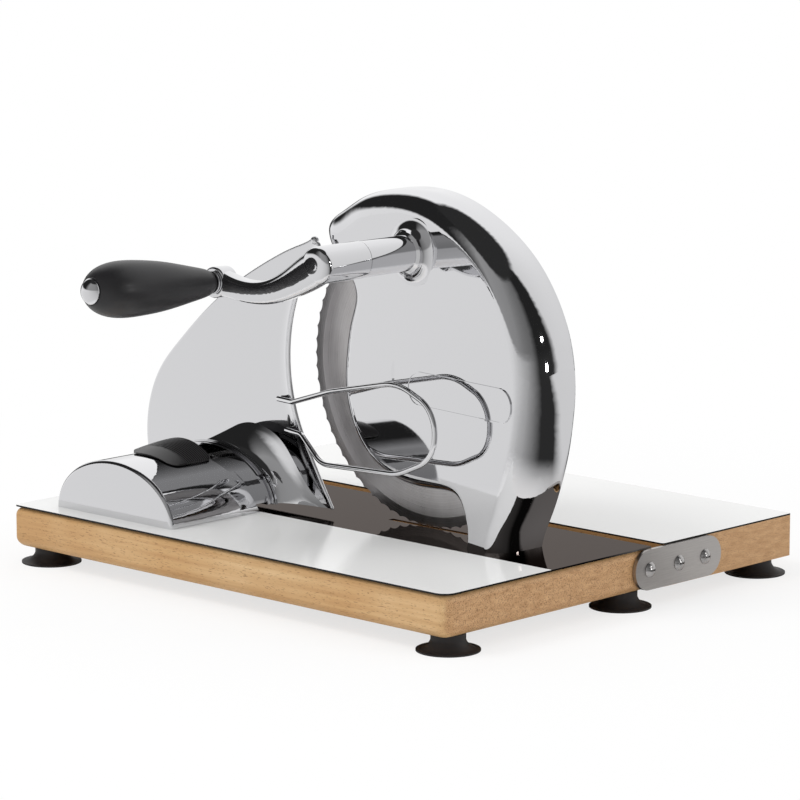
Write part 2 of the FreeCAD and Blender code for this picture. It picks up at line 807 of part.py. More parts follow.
def make_axle_clip():
    clip = bar_y(axle_radius + 1.6, blade_x, blade_z, clip_front + 0.1, clip_front + 0.1 + clip_thickness)
    clip = clip.cut(bar_y(axle_radius - 0.8, blade_x, blade_z, clip_front, blade_y))
    mouth = box(blade_x - 1.6, blade_x + 1.6, clip_front, blade_y, blade_z, blade_z + 8.0)
    return clip.cut(mouth)


def make_blade():
    """Round blade with a wavy edge, ground to a bevel on its near side."""
    edges = []
    step = 2 * math.pi / blade_waves
    for wave in range(blade_waves):
        ends = []
        for angle, radius in ((wave, blade_radius), (wave + 0.5, blade_radius - blade_wave_depth),
                              (wave + 1, blade_radius)):
            ends.append(V(blade_x + radius * math.cos(angle * step), blade_y,
                          blade_z + radius * math.sin(angle * step)))
        edges.append(Part.Arc(*ends).toShape())
    disc = face_of(edges).extrude(V(0, blade_thickness, 0))
    bevel = turned_y([(blade_radius - blade_bevel_width, blade_y - 0.01),
                      (blade_radius + 2.0, blade_y - 0.01),
                      (blade_radius + 2.0, blade_back - 0.1)], blade_x, blade_z)
    holes = [bevel, bar_y(spigot_radius, blade_x, blade_z, blade_y - CUT, blade_back + CUT)]
    for place in blade_screw_points():
        holes.append(bar_y(blade_screw_radius, place.x, place.z, blade_y - CUT, blade_back + CUT))
    return cut(disc, holes)


def make_blade_clamp():
    back = blade_back + clamp_thickness
    disc = turned_y([(0, blade_back), (clamp_radius, blade_back), (clamp_radius, back - 1.2),
                     (clamp_radius - 1.6, back), (0, back)], blade_x, blade_z)
    return cut(disc, [Part.makeCone(blade_screw_radius, 3.0, 1.5,
                                    V(place.x, back - 1.5, place.z), V(0, 1, 0))
                      .fuse(bar_y(blade_screw_radius, place.x, place.z, blade_y, back))
                      for place in blade_screw_points()])


def make_blade_screws():
    back = blade_back + clamp_thickness
    length = back - blade_y + 6.0
    return group(flat_screw(blade_screw_radius, 3.0, length, V(place.x, back, place.z), V(0, -1, 0))
                 for place in blade_screw_points())


# ---------------------------------------------------------------- crank
hub_back = tube_mouth_y - hub_gap
shaft_front = arm_back - 4.0


def make_shaft():
    shaft = bar_y(shaft_radius, crank_x, crank_z, shaft_front, gear_back + 0.5)
    return shaft.cut(bar_x(pinion_pin_radius, pinion_pin_y, crank_z, crank_x - 11.0, crank_x + 11.0))


def make_shaft_bush(y0, y1):
    return bar_y(bush_radius, crank_x, crank_z, y0, y1).cut(
        bar_y(shaft_bore, crank_x, crank_z, y0 - CUT, y1 + CUT))


def arm_section(x, z, slope, half_height, half_depth):
    """Soft-cornered section across the arm, as a closed wire."""
    points = []
    turn = math.radians(slope)
    middle_y = arm_y + arm_thickness / 2
    for index in range(16):
        angle = 2 * math.pi * index / 16
        along = math.copysign(abs(math.cos(angle)) ** arm_softness, math.cos(angle)) * half_depth
        across = math.copysign(abs(math.sin(angle)) ** arm_softness, math.sin(angle)) * half_height
        points.append(V(x - across * math.sin(turn), middle_y + along, z + across * math.cos(turn)))
    return ring_wire(points)


def arm_end():
    """Round end of the arm over the hub, with the same soft edge as the arm's section."""
    half_depth = arm_thickness / 2
    front = arm_y - 0.3
    flat = 2.0
    points = [V(flat, front, 0)]
    for degrees in (22, 40, 56, 70, 81, 90):
        angle = math.radians(degrees)
        points.append(V(hub_radius * math.sin(angle) ** arm_softness,
                        front + half_depth * (1.0 - max(0.0, math.cos(angle)) ** arm_softness), 0))
    points[-1] = V(hub_radius, arm_y + half_depth, 0)
    curve = Part.BSplineCurve()
    curve.interpolate(points)
    seat = points[-1].y
    corners = [points[-1], V(0, seat, 0), V(0, front, 0), points[0]]
    edges = [curve.toShape()]
    edges += [Part.makeLine(corner, after) for corner, after in zip(corners, corners[1:])]
    end = face_of(edges).revolve(V(0, 0, 0), V(0, 1, 0), 360)
    end.translate(V(crank_x, 0, crank_z))
    return end


def make_crank_arm():
    """Chromed casting: hub tube, swan-neck arm and the eye that carries the handle."""
    half_depth = arm_thickness / 2
    stations = [(0.0, 0.0, -8, 8.0), (16.0, -2.6, -7, 6.8), (32.0, -3.2, 3, 6.8), (48.0, 0.0, 18, 7.6),
                (62.0, 6.0, 30, 8.8), (74.0, 12.6, 38, 10.2), (crank_reach_x, crank_drop, 45, hub_radius - 0.6)]
    neck = skin([arm_section(eye_x + x, eye_z + z, slope, height, half_depth)
                 for x, z, slope, height in stations])
    hub = fused([arm_end(), bar_y(hub_radius, crank_x, crank_z, arm_y + half_depth, hub_back)])
    way = handle_way()
    eye_start = V(eye_x, arm_y, eye_z) - way * 12.5
    eye = round_bar(eye_radius, eye_start, V(eye_x, arm_y, eye_z))
    eye = eye.makeFillet(1.5, [edge for edge in eye.Edges if edge.Curve.TypeId == "Part::GeomCircle"])
    arm = fused([neck, hub, eye])
    holes = [bar_y(shaft_radius, crank_x, crank_z, shaft_front, hub_back + CUT),
             round_bar(spindle_radius, eye_start - way * CUT, V(eye_x, arm_y, eye_z) + way * CUT),
             bar_z(set_screw_radius, crank_x, set_screw_y, crank_z - hub_radius - CUT, crank_z)]
    return cut(arm, holes)


set_screw_radius = 2.5
set_screw_y = hub_back - 14.0


def make_set_screw():
    screw = bar_z(set_screw_radius, crank_x, set_screw_y, crank_z - hub_radius + 0.4, crank_z - shaft_radius)
    socket = bar_z(set_screw_radius * 0.5, crank_x, set_screw_y,
                   crank_z - hub_radius, crank_z - hub_radius + 2.4)
    return screw.cut(socket)


def handle_way():
    return V(0, -math.cos(handle_tilt), math.sin(handle_tilt))


def handle_point(distance):
    """Point on the handle's axis, a distance out from the arm's face."""
    return V(eye_x, arm_y, eye_z) + handle_way() * distance


def make_spindle():
    """Fixed axle of the handle, upset behind the eye."""
    rivet = round_bar(spindle_radius + 2.0, handle_point(-14.0), handle_point(-12.5))
    rod = round_bar(spindle_radius, handle_point(-13.0), handle_point(grip_end + 1.0))
    return fused([rod, rivet])


def make_ferrule():
    start = grip_play
    ring = round_bar(ferrule_radius, handle_point(start), handle_point(start + ferrule_length))
    ring = ring.makeFillet(0.3, [edge for edge in ring.Edges if edge.Curve.TypeId == "Part::GeomCircle"])
    return ring.cut(round_bar(spindle_radius + running_play, handle_point(-1), handle_point(grip_end)))


def make_grip():
    """Pear-shaped grip, turned about the spindle."""
    shape = [(0.0, 0.28), (0.013, 0.37), (0.04, 0.455), (0.09, 0.535), (0.17, 0.622), (0.28, 0.738),
             (0.44, 0.884), (0.615, 0.976), (0.75, 1.0), (0.865, 0.927), (0.942, 0.768), (0.986, 0.585),
             (1.0, 0.5)]
    points = [V(width * grip_radius, 0, share * grip_length) for share, width in shape]
    bore = spindle_radius + running_play
    curve = Part.BSplineCurve()
    curve.interpolate(points)
    edges = [curve.toShape(), Part.makeLine(points[-1], V(bore, 0, grip_length)),
             Part.makeLine(V(bore, 0, grip_length), V(bore, 0, 0)), Part.makeLine(V(bore, 0, 0), points[0])]
    grip = face_of(edges).revolve(V(0, 0, 0), V(0, 0, 1), 360)
    grip.Placement = FreeCAD.Placement(handle_point(grip_start), FreeCAD.Rotation(V(0, 0, 1), handle_way()))
    return grip


def make_handle_nut():
    """Domed nut on the spindle's end."""
    dome_radius = handle_nut_radius * 1.16
    seat = 1.0 - grip_play
    dome = [V(radius, 0, handle_nut_length - dome_radius + math.sqrt(dome_radius ** 2 - radius ** 2))
            for radius in (handle_nut_radius, handle_nut_radius * 0.6, 0.8)]
    corners = [dome[2], V(0, 0, dome[2].z), V(0, 0, seat), V(spindle_radius, 0, seat),
               V(spindle_radius, 0, 0), V(handle_nut_radius, 0, 0), dome[0]]
    edges = [Part.Arc(*dome).toShape()]
    edges += [Part.makeLine(corner, after) for corner, after in zip(corners, corners[1:])]
    nut = face_of(edges).revolve(V(0, 0, 0), V(0, 0, 1), 360)
    nut.Placement = FreeCAD.Placement(handle_point(grip_end + grip_play),
                                      FreeCAD.Rotation(V(0, 0, 1), handle_way()))
    return nut


# ---------------------------------------------------------------- fence
# Outer edge, as (height above the boards, distance from the blade axis along X)
fence_outer = [(fence_clearance, 221.5), (14.0, 225.5), (24.0, 227.6), (34.0, 228.0), (44.0, 227.0),
               (57.0, 223.5), (67.0, 219.0), (78.0, 211.5), (92.0, 198.0), (108.0, 180.8),
               (122.0, 163.7), (138.0, 140.0), (152.0, 114.5), (160.0, 97.0),
               (fence_tip_height, 93.0), (fence_tip_height + 4.5, 82.5)]
# Depth of the rolled edge at each of those heights
fence_roll = [0.8, 3.0, 5.0, 6.2, 6.8, 6.8, 6.5, 6.0, 5.5, 5.0, 4.8, 4.5, 4.2, 4.0, 3.8, 3.0]


def fence_edge_x(z):
    """Concave edge nearest the blade: an arc about its axis, then a straight run down."""
    drop = blade_z - z
    straight = fence_edge_radius * fence_edge_lean / math.hypot(1, fence_edge_lean)
    if drop <= straight:
        return blade_x - math.sqrt(fence_edge_radius ** 2 - drop ** 2)
    return blade_x - math.sqrt(fence_edge_radius ** 2 - straight ** 2) + (drop - straight) * fence_edge_lean


def fence_roll_at(z):
    """Depth of the rolled edge at a height, between the stations of the outer edge."""
    heights = [top + height for height, _ in fence_outer]
    for low, high, depth, following in zip(heights, heights[1:], fence_roll, fence_roll[1:]):
        if low <= z <= high:
            return depth + (following - depth) * (z - low) / (high - low)
    return fence_roll[-1]


def roll_geometry(z):
    """Start of the roll along X, its radius on the loaf side, and its free edge along X."""
    depth = fence_roll_at(z)
    radius = fence_thickness + 0.6 + depth / (1 - math.cos(lip_bend))
    edge_x = fence_edge_x(z) + depth
    if z > top + fence_tip_height:
        edge_x -= 1.2 * (z - top - fence_tip_height)
    return edge_x - radius * math.sin(lip_bend), radius, edge_x


def fence_section(height, reach):
    """Level section of the plate: flat sheet with a rolled and rounded edge."""
    z = top + height
    start_x, radius, _ = roll_geometry(z)
    left = blade_x - reach
    centre_y = fence_back - radius
    half = fence_thickness / 2

    def on_roll(distance, angle):
        return V(start_x + distance * math.sin(angle), centre_y + distance * math.cos(angle), z)

    inner = radius - fence_thickness
    tip = on_roll(inner + half, lip_bend) + V(math.cos(lip_bend), -math.sin(lip_bend), 0) * half
    return Part.Wire([
        Part.makeLine(V(left, fence_front, z), V(start_x, fence_front, z)),
        Part.Arc(on_roll(inner, 0), on_roll(inner, lip_bend / 2), on_roll(inner, lip_bend)).toShape(),
        Part.Arc(on_roll(inner, lip_bend), tip, on_roll(radius, lip_bend)).toShape(),
        Part.Arc(on_roll(radius, lip_bend), on_roll(radius, lip_bend / 2), on_roll(radius, 0)).toShape(),
        Part.makeLine(V(start_x, fence_back, z), V(left, fence_back, z)),
        Part.makeLine(V(left, fence_back, z), V(left, fence_front, z)),
    ])


def make_fence_plate():
    """Tall sickle-shaped plate with a rolled edge beside the blade."""
    plate = skin([fence_section(height, reach) for height, reach in fence_outer])
    height, reach = fence_outer[-1]
    _, _, edge_x = roll_geometry(top + height)
    nub = Part.makeSphere(2.6, V((blade_x - reach + edge_x) / 2, fence_front - 0.6, top + height))
    plate = plate.fuse(nub)
    holes = [guard_end(0), guard_end(1)]
    holes += [Part.makeCone(fence_rivet_radius, fence_rivet_head, fence_thickness,
                            V(x, fence_front, z), V(0, 1, 0)) for x, z in fence_rivet_places()]
    return cut(plate, holes)


fence_rivet_radius = 2.5
fence_rivet_head = 4.2
fence_rivet_bite = 6.0


def fence_rivet_places():
    return [(adjuster_x + 12.0, top + 31.0), (adjuster_x - 21.0, top + 20.0),
            (adjuster_x + 45.0, top + 12.0)]


def make_fence_rivets():
    rivets = []
    for x, z in fence_rivet_places():
        head = Part.makeCone(fence_rivet_radius, fence_rivet_head, fence_thickness,
                             V(x, fence_front, z), V(0, 1, 0))
        shank = bar_y(fence_rivet_radius, x, z, fence_front - fence_rivet_bite, fence_front)
        rivets.append(head.fuse(shank))
    return group(rivets)


def oval(x, half_width, height, y):
    """Ellipse in the XZ plane, centred on the boards' surface."""
    ellipse = Part.Ellipse(V(x + half_width, y, top), V(x, y, top + height), V(x, y, top))
    return Part.Wire(ellipse.toShape())


def oval_bar(x, half_width, height, y0, y1):
    return Part.Face(oval(x, half_width, height, y0)).extrude(V(0, y1 - y0, 0))


def bell_rings():
    """Neck and mouth of the bell, point by point, as (x from the adjuster's middle, height)."""
    neck = []
    for degrees in (174, 158, 141, 124, 108, 93, 80, 66, 52, 38, 25, 13, 3, -35, -90, -145):
        angle = math.radians(degrees)
        neck.append((1.0 + (ring_half_width - 3.0) * math.cos(angle), (ring_height - 2.4) * math.sin(angle)))
    mouth = [(-35.0, 3.8), (-32.5, 16.0), (-24.0, 27.0), (-7.0, 37.0), (7.0, 44.8), (20.0, 48.3),
             (31.0, 47.3), (44.0, 42.3), (54.4, 32.8), (64.0, 20.8), (72.2, 12.5), (81.6, 6.3),
             (89.0, 1.8), (76.0, -8.2), (28.0, -16.2), (-22.0, -8.2)]
    return neck[::-1], mouth[::-1]


def bell(wall):
    """Flare from the neck's collar to the fence plate, as a solid."""
    neck, mouth = bell_rings()
    neck = inset(neck, wall)
    mouth = inset(mouth, wall)
    length = fence_front - ring_back + 1.0
    sections = []
    for share, blend in ((0.0, 0.0), (0.36, 0.09), (0.64, 0.3), (0.85, 0.66), (1.0, 1.0)):
        y = ring_back - 1.0 + length * share
        sections.append(ring_wire([V(adjuster_x + x0 + (x1 - x0) * blend, y, top + z0 + (z1 - z0) * blend)
                                   for (x0, z0), (x1, z1) in zip(neck, mouth)]))
    return skin(sections)


def above_fence_bottom(y0, y1):
    return box(-half_length, half_length, y0, y1, fence_bottom, blade_z)


def neck_flat():
    """Cutter for the flat along the top of the neck."""
    return box(adjuster_x - neck_flat_half_width, adjuster_x + neck_flat_half_width,
               neck_front - CUT, ring_front,
               top + neck_height - neck_flat_depth, top + 2 * neck_height)


def make_fence_bracket():
    """Casting that carries the fence: neck in the barrel, web on the rods, bell at the plate."""
    neck = oval_bar(adjuster_x, neck_half_width, neck_height, neck_front, ring_back)
    bore = oval_bar(adjuster_x, neck_half_width - neck_wall, neck_height - neck_crown_wall,
                    neck_front - CUT, ring_back + CUT)
    flare = bell(0.0).cut(bell(neck_wall))
    web = oval_bar(adjuster_x, neck_half_width - 1.0, neck_height - 2.0,
                   web_front, web_front + web_thickness)
    pads = [bar_y(fence_rivet_radius + 3.0, x, z, fence_front - fence_rivet_bite - 1.0, fence_front)
            .common(bell(0.0)) for x, z in fence_rivet_places()]
    step = oval_bar(adjuster_x + 0.5, neck_half_width + 2.0, neck_height + 1.5,
                    ring_back - 3.0, ring_back).cut(
        oval_bar(adjuster_x, neck_half_width - 6.0, neck_height - 8.0, ring_back - 4.0, ring_back + CUT))
    body = fused([neck.cut(bore), web, flare, step] + pads)
    body = body.common(above_fence_bottom(neck_front, fence_front))
    holes = [bar_y(rod_bush_radius, x, top + rod_height, web_front - CUT, web_front + web_thickness + CUT)
             for x in rod_places()]
    holes += [bar_y(fence_rivet_radius, x, z, fence_front - fence_rivet_bite, fence_front + CUT)
              for x, z in fence_rivet_places()]
    holes.append(neck_flat())
    return cut(body, holes)


def make_fence_ring():
    """Stepped collar round the bracket."""
    bands = [(3.0, 1.0, 0.0, 0.3), (4.0, 1.8, 0.0, 1.0), (0.8, 0.3, 0.52, 0.68), (0.0, 0.0, 0.76, 1.0)]
    outer = fused([oval_bar(adjuster_x + 1.0, ring_half_width - narrower, ring_height - lower,
                            ring_front + ring_thickness * start, ring_front + ring_thickness * end)
                   for narrower, lower, start, end in bands])
    seat = oval_bar(adjuster_x, neck_half_width, neck_height, ring_front - CUT, ring_back + CUT)
    step = oval_bar(adjuster_x + 0.5, neck_half_width + 2.0, neck_height + 1.5,
                    ring_back - 3.0, ring_back + CUT)
    ring = cut(outer, [seat, step, bell(0.0)])
    return ring.common(above_fence_bottom(ring_front, ring_back))


# ---------------------------------------------------------------- wire slice guard
guard_upper_height = 66.3
guard_lower_height = 47.8


def guard_seat(height):
    """Start of a wire end against the flat sheet, and where it leaves the rolled edge."""
    z = top + height
    start_x, radius, _ = roll_geometry(z)
    inner = radius - fence_thickness
    start = V(start_x - 2.5, fence_front - wire_radius + 0.1, z)
    edge = V(start_x + inner * math.sin(lip_bend), fence_back - radius + inner * math.cos(lip_bend), z)
    edge += V(-math.sin(lip_bend), -math.cos(lip_bend), 0) * (wire_radius * 0.9)
    return start, edge + (edge - start).normalize() * 5.0


def guard_corners():
    """Corners of the guard's path, from the upper end on the lip round to the lower end."""
    upper, upper_bend = guard_seat(guard_upper_height)
    lower, lower_bend = guard_seat(guard_lower_height)
    loop = [(-45.0, 20.5, 81.0), (17.0, 29.0, 94.5), (51.0, 32.8, 82.5),
            (49.5, 32.8, 54.0), (19.0, 31.0, 41.0), (-54.0, 20.5, 36.0)]
    middle = [V(blade_x + x, fence_front - y, top + z) for x, y, z in loop]
    return [upper, upper_bend + V(0, 0, 1.5)] + middle + [lower_bend + V(0, 0, 1.0), lower]


def guard_wire():
    return bent_path(guard_corners(), [14.0, 60.0, 44.0, 20.0, 20.0, 42.0, 28.0, 10.0])


def make_wire_guard():
    path = guard_wire()
    first = path.Edges[0]
    start = first.valueAt(first.FirstParameter)
    way = first.tangentAt(first.FirstParameter)
    section = Part.Wire(Part.makeCircle(wire_radius, start, way))
    return Part.Wire(path.Edges).makePipeShell([section], True, True)


def guard_end(index):
    """Cutter that seats one straight end of the wire in the rolled edge."""
    corners = guard_corners()
    ends = (corners[0], corners[1]) if index == 0 else (corners[-1], corners[-2])
    return round_bar(wire_radius, ends[0], ends[1])


# ---------------------------------------------------------------- adjuster
adjuster_screw_radius = 2.0
adjuster_head_radius = 4.0
adjuster_seat = wood_bottom + 10.0
adjuster_bite = 9.0
rod_bush_radius = rod_radius + 1.5
post_radius = 5.0
base_plate_thickness = 3.0
base_half_width = 34.0
lug_thickness = 10.0
lug_front = barrel_front_y + barrel_wall + 4.0


def rod_places():
    return [adjuster_x - rod_spacing / 2, adjuster_x + rod_spacing / 2]


def post_places():
    reach = barrel_half_width - post_radius - 0.5
    return [(adjuster_x + side * reach, lug_front + post_radius) for side in (-1, 1)]


def base_screw_places():
    return [(adjuster_x + side * (base_half_width - 8.0), lug_front + lug_thickness + 12.0)
            for side in (-1, 1)]


def adjuster_screw_places():
    return post_places() + base_screw_places()


def barrel_rear_cutter():
    """Everything behind the barrel's raked rear end."""
    far = barrel_rear_y + 2 * barrel_height
    crown = top + 2 * barrel_height
    crown_y = barrel_rear_y - barrel_rake * 2 * barrel_height
    side = [V(-half_length, barrel_rear_y, top), V(-half_length, crown_y, crown),
            V(-half_length, far, crown), V(-half_length, far, top)]
    return polygon(side).extrude(V(board_length, 0, 0))


def make_adjuster_housing():
    """Half-barrel cover with a flat front end and openings under the lever."""
    outer = oval_bar(adjuster_x, barrel_half_width, barrel_height, barrel_front_y, barrel_rear_y)
    outer = outer.makeFillet(barrel_edge_radius, [edge for edge in outer.Edges
                                   if abs(edge.CenterOfMass.y - barrel_front_y) < 0.01])
    inner = oval_bar(adjuster_x, barrel_half_width - barrel_wall, barrel_height - barrel_wall,
                     barrel_front_y + barrel_wall, barrel_rear_y + CUT)
    posts = [bar_z(post_radius, x, y, top, top + adjuster_bite + 2.0).common(outer)
             for x, y in post_places()]
    shell = fused([outer.cut(inner)] + posts)
    shell = shell.common(box(-half_length, half_length, barrel_front_y, barrel_rear_y,
                             top, top + barrel_height))
    shell = shell.cut(barrel_rear_cutter())
    slot_half = stem_half_width + lug_gap
    notch = box(adjuster_x - slot_half, adjuster_x + slot_half, lever_pivot_y - lever_pin_radius - 1.6,
                barrel_rear_y, top + barrel_height / 2, top + 2 * barrel_height)
    pocket = box(spring_start - 0.5, spring_start + 4.0, lever_pivot_y - 3.0, lever_pivot_y + 3.0,
                 top + barrel_height / 2, top + 2 * barrel_height)
    lugs = []
    for side in (-1, 1):
        x0, x1 = sorted((adjuster_x + side * slot_half, adjuster_x + side * (slot_half + lug_width)))
        lugs.append(box(x0, x1, lever_pivot_y - 2.6, lever_pivot_y + 2.6,
                        lever_pivot_z - lever_pin_radius - 1.2,
                        top + barrel_height).common(outer))
    shell = fused([cut(shell, [notch, pocket])] + lugs)
    holes = [bar_z(adjuster_screw_radius, x, y, top - CUT, top + adjuster_bite) for x, y in post_places()]
    holes.append(bar_x(lever_pin_radius, lever_pivot_y, lever_pivot_z, adjuster_x - lever_pin_half,
                       adjuster_x + lever_pin_half))
    return cut(shell, holes)


def make_adjuster_base():
    """Plate under the barrel with the lug that holds both guide rods."""
    plate = box(adjuster_x - base_half_width, adjuster_x + base_half_width, lug_front,
                web_front - fence_open_travel - 2.0, top, top + base_plate_thickness)
    lug = box(adjuster_x - base_half_width, adjuster_x + base_half_width,
              lug_front, lug_front + lug_thickness,
              top, top + rod_height + rod_radius + 3.0)
    body = fused([plate, lug])
    holes = [bar_y(rod_radius, x, top + rod_height, lug_front - CUT, lug_front + lug_thickness + CUT)
             for x in rod_places()]
    holes += [bar_z(adjuster_screw_radius, x, y, top - CUT, top + 5.0) for x, y in base_screw_places()]
    return cut(body, holes)


def make_guide_rods():
    end = ring_back + 1.0
    return group(bar_y(rod_radius, x, top + rod_height, lug_front, end) for x in rod_places())


def make_rod_bushes():
    bushes = []
    for x in rod_places():
        z = top + rod_height
        sleeve = bar_y(rod_bush_radius, x, z, web_front, web_front + web_thickness)
        flange = bar_y(rod_bush_radius + 1.5, x, z, web_front - 1.0, web_front)
        bushes.append(fused([sleeve, flange]).cut(
            bar_y(rod_radius + running_play, x, z, web_front - 2.0, web_front + web_thickness + CUT)))
    return group(bushes)


def make_adjuster_screws():
    screws = []
    for x, y in post_places():
        screws.append((x, y, top + adjuster_bite))
    for x, y in base_screw_places():
        screws.append((x, y, top + base_plate_thickness))
    return group(pan_screw(adjuster_screw_radius, adjuster_head_radius, 2.6, end - adjuster_seat,
                           V(x, y, adjuster_seat), V(0, 0, 1)) for x, y, end in screws)


# ---------------------------------------------------------------- release lever
stem_half_width = 7.0
stem_length = 14.0
stem_bottom = lever_pivot_z - lever_pin_radius - 1.2
lever_pin_half = 14.6
lever_gap = 0.6
rack_height = 1.4
rack_pitch = 1.5
rack_bottom = top + neck_height - neck_flat_depth
rack_top = rack_bottom + rack_height
spring_wire = 0.35


def make_lever():
    """Saddle-shaped thumb piece over the barrel, with a pawl that drops to the rack."""
    y0 = front_y + lever_front
    y1 = y0 + lever_length
    x0 = adjuster_x - lever_left
    x1 = adjuster_x + lever_right
    pad = box(x0, x1, y0, y1, top, top + 2 * barrel_height)
    for x, y, radius in ((x0, y0, 19.0), (x1, y0, 7.0), (x0, y1, 4.0), (x1, y1, 2.5)):
        pad = rounded_edges(pad, radius, upright_at(x, y, top))
    saddle = []
    for share, narrower, rise in ((-0.03, 2.5, 0.16), (0.26, 5.0, 0.5), (0.58, 8.5, 0.82),
                                  (0.87, 10.8, 0.98), (1.03, 11.4, 1.0)):
        y = y0 + lever_length * share
        half_width = barrel_half_width - narrower
        height = barrel_height + lever_rise * rise
        angles = [math.radians(degrees) for degrees in range(0, 360, 15)]
        saddle.append(ring_wire([V(adjuster_x + half_width * math.cos(angle), y,
                                   top + height * math.sin(angle)) for angle in angles]))
    sleeve = oval_bar(adjuster_x, barrel_half_width + lever_gap, barrel_height + lever_gap,
                      y0 - CUT, y1 + CUT)
    pad = pad.common(skin(saddle)).cut(sleeve)
    stem = box(adjuster_x - stem_half_width, adjuster_x + stem_half_width,
               lever_pivot_y - lever_pin_radius - 1.2,
               lever_pivot_y + stem_length, stem_bottom, top + barrel_height + lever_gap + 0.8)
    pawl_y = lever_pivot_y + stem_length
    side = adjuster_x - 2.5
    pawl = polygon([V(side, pawl_y - 2.6, stem_bottom + 0.5), V(side, pawl_y, stem_bottom + 0.5),
                    V(side, pawl_y, rack_top + 0.3), V(side, pawl_y - 0.8, rack_top + 0.3)])
    lever = fused([pad, stem, pawl.extrude(V(5.0, 0, 0))])
    return lever.cut(bar_x(lever_pin_radius + running_play, lever_pivot_y, lever_pivot_z,
                           adjuster_x - stem_half_width - CUT, adjuster_x + stem_half_width + CUT))


def make_lever_pin():
    return bar_x(lever_pin_radius, lever_pivot_y, lever_pivot_z, adjuster_x - lever_pin_half,
                 adjuster_x + lever_pin_half)


def make_lock_rack():
    """Toothed strip on the flat of the bracket's neck."""
    y0 = neck_front
    y1 = ring_front - 1.0
    strip = box(adjuster_x - 4.0, adjuster_x + 4.0, y0, y1, rack_bottom, rack_top)
    x = adjuster_x - 5.0
    notches = []
    for index in range(int((y1 - y0 - 2.0) / rack_pitch)):
        y = y0 + 1.0 + rack_pitch * index
        notches.append(polygon([V(x, y, rack_top + 0.01), V(x, y + rack_pitch, rack_top + 0.01),
                                V(x, y + rack_pitch, rack_top - 0.8)]).extrude(V(10.0, 0, 0)))
    return cut(strip, notches)


def make_lever_spring():
    """Torsion spring on the lever's pin, beside the stem."""
    helix = Part.makeHelix(1.0, 3.0, lever_pin_radius + spring_wire + 0.02)
    helix.Placement = FreeCAD.Placement(V(spring_start, lever_pivot_y, lever_pivot_z),
                                        FreeCAD.Rotation(V(0, 0, 1), V(1, 0, 0)))
    first = helix.Edges[0]
    start = first.valueAt(first.FirstParameter)
    way = first.tangentAt(first.FirstParameter)
    section = Part.Wire(Part.makeCircle(spring_wire, start, way))
    return Part.Wire(helix.Edges).makePipeShell([section], True, True)


lug_gap = 0.3
lug_width = 3.0
spring_start = adjuster_x + stem_half_width + lug_gap + lug_width + 0.6


# ---------------------------------------------------------------- all pieces
def make_parts():
    parts = {
        "front_board": make_front_board(),
        "rear_board": make_rear_board(),
        "front_laminate": make_front_laminate(),
        "rear_laminate": make_rear_laminate(),
        "slide_plate": make_slide_plate(),
        "hinge_strap_right": make_strap(1),
        "hinge_strap_left": make_strap(-1),
        "strap_screws": make_strap_screws(),
        "pivot_screws": make_pivot_screws(),
        "front_foot_screws": make_foot_screws(front_feet),
        "rear_foot_screws": make_foot_screws(rear_feet),
        "housing_shell": make_housing(),
        "badge_plate": make_badge(),
        "gear_cover": make_gear_cover(),
        "gear_cover_screws": make_gear_cover_screws(),
        "housing_bolts": make_housing_bolts(),
        "housing_washers": make_housing_washers(),
        "blade_axle": make_axle(),
        "axle_clip": make_axle_clip(),
        "blade_gear": make_blade_gear(),
        "blade_bush": make_blade_bush(),
        "blade": make_blade(),
        "blade_clamp": make_blade_clamp(),
        "blade_screws": make_blade_screws(),
        "crank_shaft": make_shaft(),
        "crank_pinion": make_pinion(),
        "pinion_pin": make_pinion_pin(),
        "shaft_bush_outer": make_shaft_bush(tube_mouth_y, tube_mouth_y + 16.0),
        "shaft_bush_inner": make_shaft_bush(face_plane_y(crank_offset_x) - 10.0,
                                            face_plane_y(crank_offset_x) + 3.0),
        "crank_arm": make_crank_arm(),
        "crank_set_screw": make_set_screw(),
        "handle_spindle": make_spindle(),
        "handle_ferrule": make_ferrule(),
        "handle_grip": make_grip(),
        "handle_nut": make_handle_nut(),
        "fence_plate": make_fence_plate(),
        "fence_bracket": make_fence_bracket(),
        "fence_ring": make_fence_ring(),
        "fence_rivets": make_fence_rivets(),
        "wire_guard": make_wire_guard(),
        "guide_rods": make_guide_rods(),
        "rod_bushes": make_rod_bushes(),
        "adjuster_housing": make_adjuster_housing(),
        "adjuster_base": make_adjuster_base(),
        "adjuster_screws": make_adjuster_screws(),
        "release_lever": make_lever(),
        "lever_pin": make_lever_pin(),
        "lever_spring": make_lever_spring(),
        "lock_rack": make_lock_rack(),
    }
    names = ["front_right", "front_left", "middle_right", "middle_left", "rear_right", "rear_left"]
    for name, (x, y) in zip(names, front_feet + rear_feet):
        parts["foot_" + name] = make_foot(x, y)
    return parts


def main():
    os.makedirs("parts", exist_ok=True)
    for name, shape in make_parts().items():
        solids = len(shape.Solids)
        print(f"{name:20s} solids {solids}  valid {shape.isValid()}  volume {shape.Volume / 1000:9.3f} cm3")
        shape.exportStep(f"parts/{name}.step")


main()
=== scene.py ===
import math

import bpy
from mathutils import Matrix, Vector


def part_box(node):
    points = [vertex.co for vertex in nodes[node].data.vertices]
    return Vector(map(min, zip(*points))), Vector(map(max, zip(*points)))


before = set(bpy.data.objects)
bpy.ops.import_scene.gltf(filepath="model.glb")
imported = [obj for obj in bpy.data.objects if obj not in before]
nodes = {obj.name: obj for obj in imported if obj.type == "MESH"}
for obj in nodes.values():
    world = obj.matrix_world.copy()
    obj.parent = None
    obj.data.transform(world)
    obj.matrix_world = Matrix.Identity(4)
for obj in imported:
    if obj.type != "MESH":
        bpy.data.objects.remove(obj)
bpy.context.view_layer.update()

MM = 0.001

